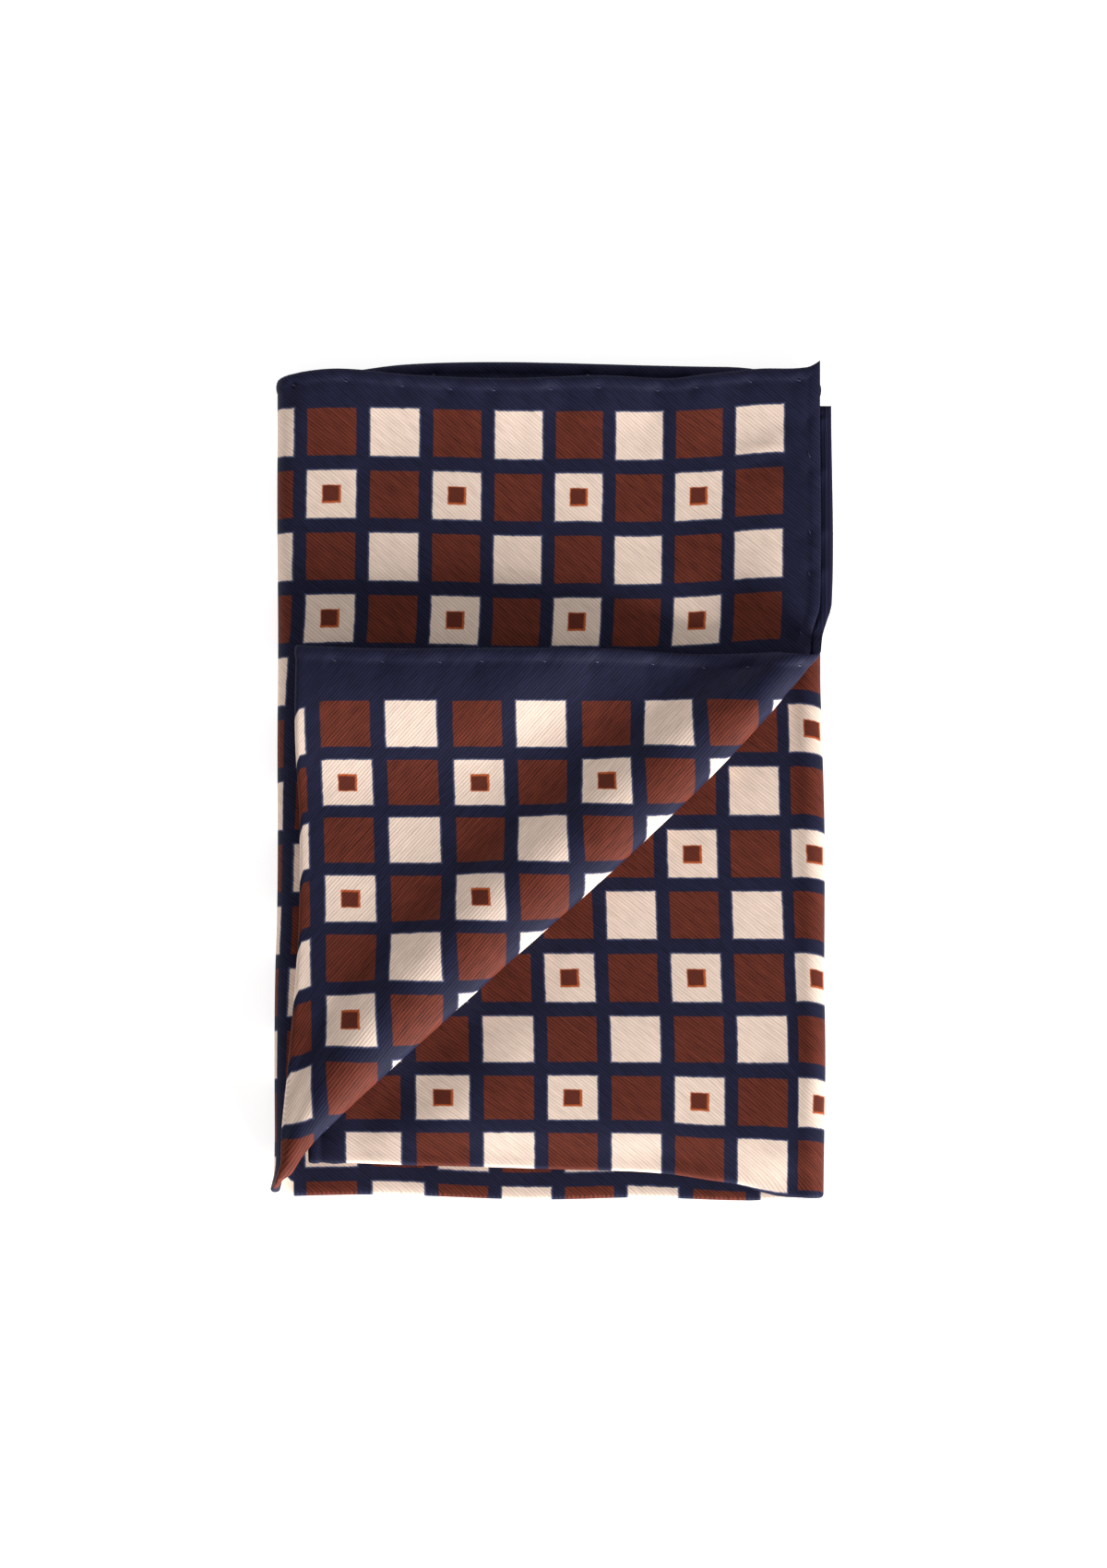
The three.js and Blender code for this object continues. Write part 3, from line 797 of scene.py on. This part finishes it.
def silk_material():
    """Navy silk twill printed with cream and brown squares, with painted sheen and shade along its
    ribs.
    """
    g = Graph("printed_silk")
    uv = g.node("ShaderNodeUVMap", uv_map="print").outputs[0]
    split = g.node("ShaderNodeSeparateXYZ")
    g.feed(split.inputs[0], uv)
    across, up = split.outputs[0], split.outputs[1]
    colour, cream = print_colour(g, uv, across, up)
    rib, streak, grain = twill(g, uv, across, up)

    # Painted sheen and shade along the ribs, added to the yarn's own streaks and grain, all weaker on
    # cream
    weave_and_sheen = g.math("MULTIPLY_ADD", rib, RIB_PAINTED_SHEEN, -(STREAK_SHADE + GRAIN_SHADE) / 2)
    weave_and_sheen = g.math("MULTIPLY_ADD", streak, STREAK_SHADE, weave_and_sheen)
    weave_and_sheen = g.math("MULTIPLY_ADD", grain, GRAIN_SHADE, weave_and_sheen)
    strength = g.math("MULTIPLY_ADD", cream, CREAM_WEAVE_AND_SHEEN - 1, 1)
    shade = g.math("MULTIPLY_ADD", g.noise(uv, PATCHES, 3), PATCH_RANGE, PATCH_LEAST)
    shade = g.math("MULTIPLY_ADD", weave_and_sheen, strength, shade)
    shaded = g.node("ShaderNodeVectorMath", operation="SCALE")
    g.feed(shaded.inputs[0], colour)
    g.feed(shaded.inputs["Scale"], shade)

    bump = g.node("ShaderNodeBump")
    bump.inputs["Strength"].default_value = BUMP_STRENGTH
    bump.inputs["Distance"].default_value = BUMP_HEIGHT
    height = g.math("ADD", g.math("MULTIPLY", rib, RIB_BUMP), g.math("ADD", grain, streak))
    g.feed(bump.inputs["Height"], height)
    g.feed(g.shader.inputs["Normal"], bump.outputs[0])
    g.feed(g.shader.inputs["Base Color"], shaded.outputs[0])
    g.set_shader(SHINE)
    return g.material


# A stitch: half its length, width and height, its sides and rings, and how far it stands off the
# silk, all but the counts in millimetres
STITCH = (0.6, 0.17, 0.15)
STITCH_SIDES = 6
STITCH_RINGS = 4
STITCH_LIFT = 0.16

# Angles at which stitches lie, on the hems along the top and on the first and last side hem, and
# how far from a corner the side hems' stitches end
TOP_SLANT = 0.3
SIDE_SLANTS = (1.2, 1.9)
CORNER_FREE = 4

# How far beside a stitch the silk is measured, to lay the stitch along it, and the thread's shine
BESIDE = 0.2
THREAD_ROUGHNESS = 0.4


def stitch_shape():
    """Points of one stitch, a long bead of unit size, and its faces."""
    points = [(-1, 0, 0)]
    for ring in range(1, STITCH_RINGS):
        angle = math.pi * ring / STITCH_RINGS
        along, size = -math.cos(angle), math.sin(angle)
        for side in range(STITCH_SIDES):
            turn = 2 * math.pi * side / STITCH_SIDES
            points.append((along, size * math.cos(turn), size * math.sin(turn)))
    points.append((1, 0, 0))
    faces = []
    for side in range(STITCH_SIDES):
        following = (side + 1) % STITCH_SIDES
        faces.append((0, 1 + following, 1 + side))
        for ring in range(STITCH_RINGS - 2):
            low, high = 1 + ring * STITCH_SIDES, 1 + (ring + 1) * STITCH_SIDES
            faces.append((low + side, low + following, high + following, high + side))
        high = 1 + (STITCH_RINGS - 2) * STITCH_SIDES
        faces.append((high + side, high + following, len(points) - 1))
    return np.array(points), faces


def hem_stitches():
    """Places of all stitches on the even sheet: across, up, the ply's angle and their slant."""
    side_ups = [up for up in stitch_places(SIDE_HEM, SIDE_TURN) if up < TOP_ROW - CORNER_FREE]
    side_hems = (HEM_IN + STITCH_IN, SIDE - STITCH_IN)
    found = []
    for angle, turn in ((-math.pi / 2, LONG_TURN), (math.pi / 2, SHORT_TURN)):
        for across in stitch_places(SIDE, turn):
            found.append((across, TOP_ROW - STITCH_IN, angle, TOP_SLANT))
        for across, slant in zip(side_hems, SIDE_SLANTS):
            found += [(across, up, angle, slant) for up in side_ups]
    return found


def make_stitches():
    """Small sewn stitches along the rolled hems, one mesh."""
    shape, shape_faces = stitch_shape()
    across, up, angle, slant = (np.array(v, float) for v in zip(*hem_stitches()))
    real_across, real_up = moved_to_hems(across, up, angle)
    edge_side = np.minimum(across - HEM_IN, SIDE - across)
    height = relief(real_across, real_up, angle, edge_side, TOP_ROW - up)
    depth = PLY_MIDDLE + height + HALF_SILK + STITCH_LIFT
    at = cloth_layer(real_across, real_up, angle, depth)
    right = cloth_layer(real_across + BESIDE, real_up, angle, depth) - at
    ahead = cloth_layer(real_across, real_up + BESIDE, angle, depth) - at
    right /= np.linalg.norm(right, axis=-1, keepdims=True)
    ahead /= np.linalg.norm(ahead, axis=-1, keepdims=True)
    long = np.cos(slant)[:, None] * right + np.sin(slant)[:, None] * ahead
    outward = np.cross(right, ahead)
    axes = np.stack([long, np.cross(outward, long), outward], 1)
    points = (at[:, None] + (shape * STITCH) @ axes).reshape(-1, 3) * MM
    faces = []
    for base in range(0, len(points), len(shape)):
        faces += [tuple(base + k for k in face) for face in shape_faces]
    return add_mesh("hem_stitches", points.tolist(), faces)


def thread_material():
    """Navy sewing silk."""
    g = Graph("sewing_silk")
    g.set_shader({"Base Color": linear(*THREAD), "Roughness": THREAD_ROUGHNESS})
    return g.material


# The floor: half its side in metres, and its shader; and the light from all round
FLOOR_HALF = 3.0
FLOOR = {
    "Base Color": (0.9, 0.9, 0.9, 1),
    "Roughness": 0.9,
    "Specular IOR Level": 0.0,
    "Emission Color": (1, 1, 1, 1),
    "Emission Strength": 0.6,
}
WORLD_STRENGTH = 0.3

# The lights: places and sizes in metres, power in watts. The key lies low at the lower right, so
# that it grazes the folds.
KEY = {"place": (0.9, -1.55, 0.43), "size": 0.55, "power": 78}
FILL = {"place": (-0.25, 0.9, 0.4), "size": 0.5, "power": 5}


def make_floor():
    """A plain white floor."""
    corners = [(x * FLOOR_HALF, y * FLOOR_HALF, 0) for x, y in ((-1, -1), (1, -1), (1, 1), (-1, 1))]
    floor = add_mesh("floor", corners, [(0, 1, 2, 3)], rounded=False)
    g = Graph("white_floor")
    g.set_shader(FLOOR)
    floor.data.materials.append(g.material)


def aim(thing, target):
    """Turns a light to face a point."""
    direction = Vector(target) - thing.location
    thing.rotation_euler = direction.to_track_quat("-Z", "Y").to_euler()


def soft_light(name, place, size, power):
    """A square light that faces the stack."""
    light = bpy.data.lights.new(name, "AREA")
    light.shape = "SQUARE"
    light.size = size
    light.energy = power
    thing = bpy.data.objects.new(name, light)
    thing.location = place
    bpy.context.collection.objects.link(thing)
    aim(thing, (0, 0, 0))


def make_lights():
    """Plain soft studio light: a low key, a weak fill and white light from all round."""
    world = bpy.data.worlds.new("studio")
    world.use_nodes = True
    background = world.node_tree.nodes["Background"]
    background.inputs["Color"].default_value = (1, 1, 1, 1)
    background.inputs["Strength"].default_value = WORLD_STRENGTH
    bpy.context.scene.world = world
    soft_light("key", **KEY)
    soft_light("fill", **FILL)


def make_camera():
    """Straight above, with the photograph's frame."""
    camera = bpy.data.cameras.new("camera")
    camera.sensor_fit = "VERTICAL"
    span = PHOTO_HEIGHT * MM_PER_PIXEL * MM
    camera.angle = 2 * math.atan(span / 2 / (CAMERA_HEIGHT - MIDDLE_HEIGHT))
    thing = bpy.data.objects.new("camera", camera)
    x = (PHOTO_WIDTH / 2 - OBJECT_PIXEL[0]) * MM_PER_PIXEL - MIDDLE[0]
    y = (OBJECT_PIXEL[1] - PHOTO_HEIGHT / 2) * MM_PER_PIXEL - MIDDLE[1]
    thing.location = (x * MM, y * MM, CAMERA_HEIGHT)
    bpy.context.collection.objects.link(thing)
    bpy.context.scene.camera = thing


make_camera()
make_lights()
make_floor()
cloth = make_cloth()
cloth.data.materials.append(silk_material())
stitches = make_stitches()
stitches.data.materials.append(thread_material())
for piece in (cloth, stitches):
    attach(piece, "root")
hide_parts("silk_square")
bpy.context.scene.view_settings.view_transform = "Standard"
